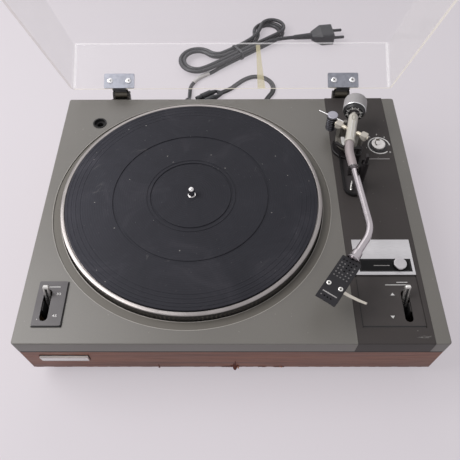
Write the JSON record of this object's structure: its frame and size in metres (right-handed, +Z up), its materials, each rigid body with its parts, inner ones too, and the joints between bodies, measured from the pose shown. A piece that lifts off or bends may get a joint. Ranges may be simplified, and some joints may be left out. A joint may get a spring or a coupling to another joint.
{
  "type": "turntable",
  "caption": "Belt-drive record player with wood-look plinth, S-shaped tonearm, clear hinged lid, hanked mains cord and signal lead.",
  "frame": {"origin": "on the floor under the feet, midway across the width and midway between the front of the deck and the back of the open lid", "axes": "+X to the right, +Y to the back, +Z up"},
  "size_m": [0.432, 0.6322, 0.43],
  "materials": {
    "walnut": "satin vinyl",
    "board": "matte",
    "deck_grey": "fine matte",
    "panel_black": "satin",
    "plate_silver": "brushed",
    "platter_metal": "turned",
    "mat_rubber": "matte",
    "foot_plastic": "matte",
    "foot_rubber": "matte",
    "steel": "plain",
    "chrome_bright": "polished",
    "arm_metal": "polished",
    "cream": "gloss",
    "weight_grey": "matte",
    "dial_black": "satin",
    "head_dark": "satin",
    "cartridge_black": "gloss",
    "stylus_grey": "matte",
    "brass": "polished",
    "clear": "gloss",
    "hinge_dark": "satin",
    "belt": "matte",
    "cord_grey": "matte",
    "tie_white": "matte"
  },
  "bodies": {
    "cabinet": {"adaptor_socket": "panel_black", "arm_base": "panel_black", "arm_panel": "panel_black", "arm_rest": "panel_black", "badge_plate": "plate_silver", "bearing_housing": "steel", "bottom_board": "board", "bottom_screws": "steel", "cord_reliefs": "dial_black", "cord_tie": "tie_white", "corner_blocks": "board", "cue_plate": "panel_black", "deck_panel": "deck_grey", "drive_belt": "belt", "feet": "foot_plastic", "foot_pads": "foot_rubber", "hinge_brackets": "hinge_dark", "lift_housing": "dial_black", "mains_cord": "cord_grey", "mains_hank": "cord_grey", "mains_plug": "cord_grey", "motor": "weight_grey", "name_plate": "plate_silver", "phono_plugs": "dial_black", "plinth_back": "walnut", "plinth_front": "walnut", "plinth_left": "walnut", "plinth_right": "walnut", "signal_lead": "cord_grey", "speed_plate": "panel_black"},
    "platter": {"platter": "platter_metal", "platter_mat": "mat_rubber", "spindle": "chrome_bright"},
    "pulley": {"motor_pulley": "brass"},
    "shifter": {"belt_shifter": "steel"},
    "return_gear": {"return_gear": "foot_plastic"},
    "button": {"return_button": "chrome_bright"},
    "cue_lever": {"cue_lever": "chrome_bright"},
    "speed_lever": {"speed_lever": "chrome_bright"},
    "skate_knob": {"anti_skate_knob": "plate_silver"},
    "yoke": {"arm_yoke": "arm_metal", "pivot_pins": "chrome_bright", "lateral_rod": "steel"},
    "arm": {"rear_sleeve": "cream", "arm_tube": "arm_metal", "headshell": "head_dark", "headshell_screws": "brass", "cartridge": "cartridge_black", "stylus": "stylus_grey", "finger_lift": "cream"},
    "head_nut": {"locking_nut": "arm_metal"},
    "weight": {"counterweight": "weight_grey"},
    "weight_dial": {"weight_dial": "dial_black"},
    "side_weight": {"lateral_weight": "weight_grey"},
    "lift": {"lift_bar": "dial_black"},
    "latch": {"rest_latch": "panel_black"},
    "lid": {"lid_shell": "clear", "hinge_plates": "steel", "hinge_screws": "steel"}
  },
  "joints": [
    {"name": "lid_hinge", "type": "hinge", "parent": "cabinet", "child": "lid", "pos_m": [0, 0.14974, 0.0893], "axis": [1, 0, 0], "range_deg": [0, 64.2]},
    {"name": "platter_spin", "type": "hinge", "parent": "cabinet", "child": "platter", "pos_m": [-0.04455, -0.02856, 0.0996], "axis": [0, 0, 1], "continuous": true},
    {"name": "pulley_spin", "type": "hinge", "parent": "cabinet", "child": "pulley", "pos_m": [-0.13521, -0.1102, 0.08725], "axis": [0, 0, 1], "continuous": true},
    {"name": "cue_lever_turn", "type": "hinge", "parent": "cabinet", "child": "cue_lever", "pos_m": [0.17965, -0.16156, 0.0653], "axis": [1, 0, 0], "range_deg": [0, 45]},
    {"name": "lift_slide", "type": "slide", "parent": "cabinet", "child": "lift", "axis": [0, 0, 1], "range_m": [-0.006, 0]},
    {"name": "speed_lever_turn", "type": "hinge", "parent": "cabinet", "child": "speed_lever", "pos_m": [-0.18815, -0.16156, 0.0653], "axis": [1, 0, 0], "range_deg": [0, 45]},
    {"name": "shifter_slide", "type": "slide", "parent": "cabinet", "child": "shifter", "axis": [0, 0, 1], "range_m": [-0.004, 0]},
    {"name": "return_gear_turn", "type": "hinge", "parent": "cabinet", "child": "return_gear", "pos_m": [-0.00649, -0.01081, 0.079], "axis": [0, 0, 1], "range_deg": [-6, 6]},
    {"name": "button_push", "type": "slide", "parent": "cabinet", "child": "button", "axis": [0, 0, -1], "range_m": [0, 0.002], "stiffness_N_per_m": 200, "springref_m": -0.001},
    {"name": "skate_knob_turn", "type": "hinge", "parent": "cabinet", "child": "skate_knob", "pos_m": [0.18295, 0.05534, 0.08965], "axis": [0, 0, 1], "range_deg": [0, 300]},
    {"name": "arm_swing", "type": "hinge", "parent": "cabinet", "child": "yoke", "pos_m": [0.14355, 0.05074, 0.1213], "axis": [0, 0, 1], "range_deg": [-41, 0]},
    {"name": "arm_tilt", "type": "hinge", "parent": "yoke", "child": "arm", "pos_m": [0.14355, 0.05074, 0.1213], "axis": [-0.8192, 0.5736, 0], "range_deg": [-1.6, 4]},
    {"name": "head_nut_turn", "type": "hinge", "parent": "arm", "child": "head_nut", "pos_m": [0.12521, -0.12313, 0.12557], "axis": [-0.5734, -0.8188, 0.0279], "range_deg": [0, 60]},
    {"name": "weight_slide", "type": "slide", "parent": "arm", "child": "weight", "axis": [0.2298, 0.9729, -0.0259], "range_m": [0, 0.004]},
    {"name": "dial_turn", "type": "hinge", "parent": "weight", "child": "weight_dial", "pos_m": [0.14355, 0.05074, 0.1213], "axis": [-0.2298, -0.9729, 0.0259], "continuous": true},
    {"name": "side_weight_slide", "type": "slide", "parent": "yoke", "child": "side_weight", "axis": [-0.8192, 0.5736, 0], "range_m": [-0.003, 0.006]},
    {"name": "latch_turn", "type": "hinge", "parent": "cabinet", "child": "latch", "pos_m": [0.1497, -0.00831, 0.13068], "axis": [0, -1, 0], "range_deg": [0, 65]}
  ],
  "couplings": [
    {"joint": "pulley_spin", "follows": "platter_spin", "ratio": 15.4},
    {"joint": "lift_slide", "follows": "cue_lever_turn", "m_per_rad": -0.0076394},
    {"joint": "shifter_slide", "follows": "speed_lever_turn", "m_per_rad": -0.005093}
  ]
}
